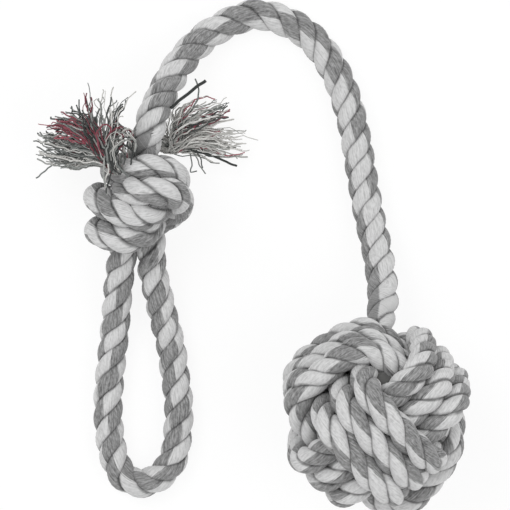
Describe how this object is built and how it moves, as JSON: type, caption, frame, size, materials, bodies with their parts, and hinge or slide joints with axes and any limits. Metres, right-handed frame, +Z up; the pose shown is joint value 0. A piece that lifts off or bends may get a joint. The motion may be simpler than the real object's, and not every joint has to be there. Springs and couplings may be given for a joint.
{
  "type": "rope dog toy",
  "caption": "Laid-rope dog toy for throwing and tugging: a wound fist ball on a bending line that ends in a knotted hand loop with frayed tufts.",
  "frame": {"origin": "on the ground, under the middle of the box round the lying toy", "axes": "+Z up from the ground, +Y from the hand loop towards the top of the line's arch, +X from the hand loop towards the ball"},
  "size_m": [0.1746, 0.2044, 0.0747],
  "materials": {
    "rope": "matte heathered cotton-blend yarn",
    "tassel": "matte unlaid yarn of mixed greys",
    "core": "matte"
  },
  "bodies": {
    "knot": {"knot_line_part": "rope", "knot_tail_part": "rope", "line_knot_half": "rope", "tassel_left": "tassel", "tassel_right": "tassel"},
    "loop": {"hand_loop": "rope"},
    "line": {"line_ball_half": "rope"},
    "ball": {"ball_pass_first": "rope", "ball_pass_second": "rope", "ball_pass_third": "rope", "ball_core": "core", "ball_line_end": "rope"}
  },
  "joints": [
    {"name": "loop_fold", "type": "hinge", "parent": "knot", "child": "loop", "pos_m": [-0.04692, -0.0056, 0.013], "axis": [-1, 0, 0], "range_deg": [-40, 40]},
    {"name": "line_bend", "type": "hinge", "parent": "knot", "child": "line", "pos_m": [0.00034, 0.0962, 0.0048], "axis": [0, 0, 1], "range_deg": [-4, 35]},
    {"name": "ball_swing", "type": "hinge", "parent": "line", "child": "ball", "pos_m": [0.05154, -0.0175, 0.0192], "axis": [0, 0, 1], "range_deg": [-25, 30]}
  ]
}
